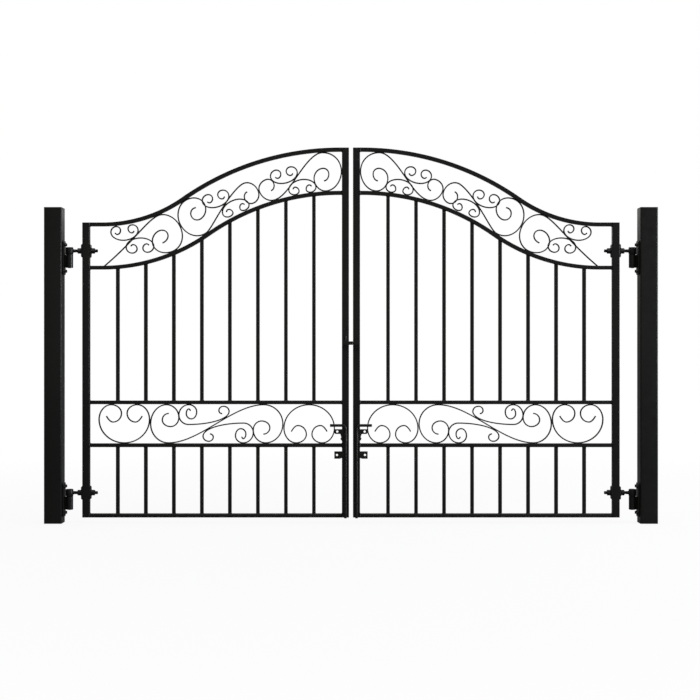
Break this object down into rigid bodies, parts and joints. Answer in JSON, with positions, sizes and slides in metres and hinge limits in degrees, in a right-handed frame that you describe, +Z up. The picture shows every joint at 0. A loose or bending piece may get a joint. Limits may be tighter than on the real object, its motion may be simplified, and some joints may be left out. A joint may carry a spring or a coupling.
{
  "type": "garden gate",
  "caption": "Double-leaf driveway gate: arched steel leaves with scrollwork and vertical bars, hung on adjustable hinges between square posts, with drop bolts and a slide latch.",
  "frame": {"origin": "on the ground, midway between the posts and on the leaves' middle plane", "axes": "X along the gate from the left post to the right post, Y through the gate away from the side with the latch and bolts, Z up"},
  "size_m": [3.464, 0.1, 2.126],
  "materials": {
    "powder_coat": "black powder coat, satin",
    "hinge_fittings": "black paint over threaded steel, satin",
    "hinge_pin": "dark oiled steel",
    "latch_bolt": "black paint, slightly polished where it slides"
  },
  "bodies": {
    "posts": {"left_post": "powder_coat", "left_post_cap": "powder_coat", "left_lower_hinge_bracket": "powder_coat", "left_lower_hinge_pin": "hinge_pin", "left_upper_hinge_bracket": "powder_coat", "left_upper_hinge_pin": "hinge_pin", "right_post": "powder_coat", "right_post_cap": "powder_coat", "right_lower_hinge_bracket": "powder_coat", "right_lower_hinge_pin": "hinge_pin", "right_upper_hinge_bracket": "powder_coat", "right_upper_hinge_pin": "hinge_pin"},
    "left_leaf": {"left_lower_hinge_eye": "hinge_fittings", "left_lower_hinge_outer_nut": "hinge_fittings", "left_lower_hinge_inner_nut": "hinge_fittings", "left_upper_hinge_eye": "hinge_fittings", "left_upper_hinge_outer_nut": "hinge_fittings", "left_upper_hinge_inner_nut": "hinge_fittings", "left_leaf_hanging_stile": "powder_coat", "left_leaf_meeting_stile": "powder_coat", "left_leaf_top_arched_rail": "powder_coat", "left_leaf_second_arched_rail": "powder_coat", "left_leaf_upper_bars": "powder_coat", "left_leaf_lower_bars": "powder_coat", "left_leaf_bottom_rail": "powder_coat", "left_leaf_top_scroll_hanging": "powder_coat", "left_leaf_top_scroll_middle": "powder_coat", "left_leaf_top_scroll_meeting": "powder_coat", "left_leaf_mid_scroll_hanging": "powder_coat", "left_leaf_mid_scroll_middle": "powder_coat", "left_leaf_mid_scroll_meeting": "powder_coat", "left_drop_bolt_upper_guide": "powder_coat", "left_drop_bolt_lower_guide": "powder_coat", "latch_housing": "powder_coat"},
    "right_leaf": {"right_lower_hinge_eye": "hinge_fittings", "right_lower_hinge_outer_nut": "hinge_fittings", "right_lower_hinge_inner_nut": "hinge_fittings", "right_upper_hinge_eye": "hinge_fittings", "right_upper_hinge_outer_nut": "hinge_fittings", "right_upper_hinge_inner_nut": "hinge_fittings", "right_leaf_hanging_stile": "powder_coat", "right_leaf_meeting_stile": "powder_coat", "right_leaf_top_arched_rail": "powder_coat", "right_leaf_second_arched_rail": "powder_coat", "right_leaf_upper_bars": "powder_coat", "right_leaf_lower_bars": "powder_coat", "right_leaf_bottom_rail": "powder_coat", "right_leaf_top_scroll_hanging": "powder_coat", "right_leaf_top_scroll_middle": "powder_coat", "right_leaf_top_scroll_meeting": "powder_coat", "right_leaf_mid_scroll_hanging": "powder_coat", "right_leaf_mid_scroll_middle": "powder_coat", "right_leaf_mid_scroll_meeting": "powder_coat", "right_drop_bolt_upper_guide": "powder_coat", "right_drop_bolt_lower_guide": "powder_coat", "latch_keep": "powder_coat"},
    "left_drop_bolt": {"left_drop_bolt": "powder_coat"},
    "right_drop_bolt": {"right_drop_bolt": "powder_coat"},
    "latch_bolt": {"latch_bolt": "latch_bolt"}
  },
  "joints": [
    {"name": "left_leaf_swing", "type": "hinge", "parent": "posts", "child": "left_leaf", "pos_m": [-1.596, 0, 0], "axis": [0, 0, -1], "range_deg": [0, 105]},
    {"name": "right_leaf_swing", "type": "hinge", "parent": "posts", "child": "right_leaf", "pos_m": [1.596, 0, 0], "axis": [0, 0, 1], "range_deg": [0, 105]},
    {"name": "left_drop_bolt_slide", "type": "slide", "parent": "left_leaf", "child": "left_drop_bolt", "axis": [0, 0, 1], "range_m": [-0.1, 0]},
    {"name": "right_drop_bolt_slide", "type": "slide", "parent": "right_leaf", "child": "right_drop_bolt", "axis": [0, 0, 1], "range_m": [-0.1, 0]},
    {"name": "latch_slide", "type": "slide", "parent": "left_leaf", "child": "latch_bolt", "axis": [1, 0, 0], "range_m": [-0.023, 0.02]}
  ]
}
